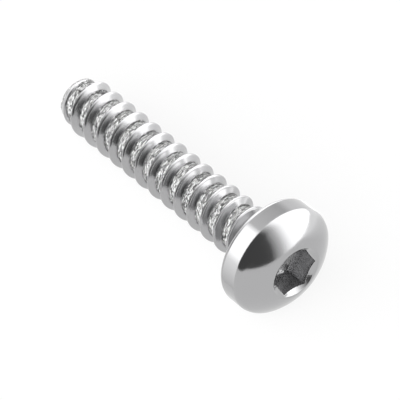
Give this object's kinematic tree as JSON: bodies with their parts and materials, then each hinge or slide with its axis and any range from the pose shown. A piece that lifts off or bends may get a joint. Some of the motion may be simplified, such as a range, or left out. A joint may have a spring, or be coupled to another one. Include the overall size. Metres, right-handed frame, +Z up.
{
  "type": "button head screw",
  "caption": "Button head screw with a hexagon socket and a coarse thread-forming thread, lying on its side.",
  "frame": {"origin": "middle of the footprint, on the surface the screw lies on", "axes": "+X along the screw's length, towards the head; +Z up. The screw's own axis lies in the XZ plane and rises 6.4 degrees towards the head."},
  "size_m": [0.0306, 0.0104, 0.0106],
  "materials": {
    "steel": "bright, smooth head; thread crests polished by rolling, roots rough"
  },
  "bodies": {
    "root": {"button_head_screw": "steel"}
  },
  "joints": []
}
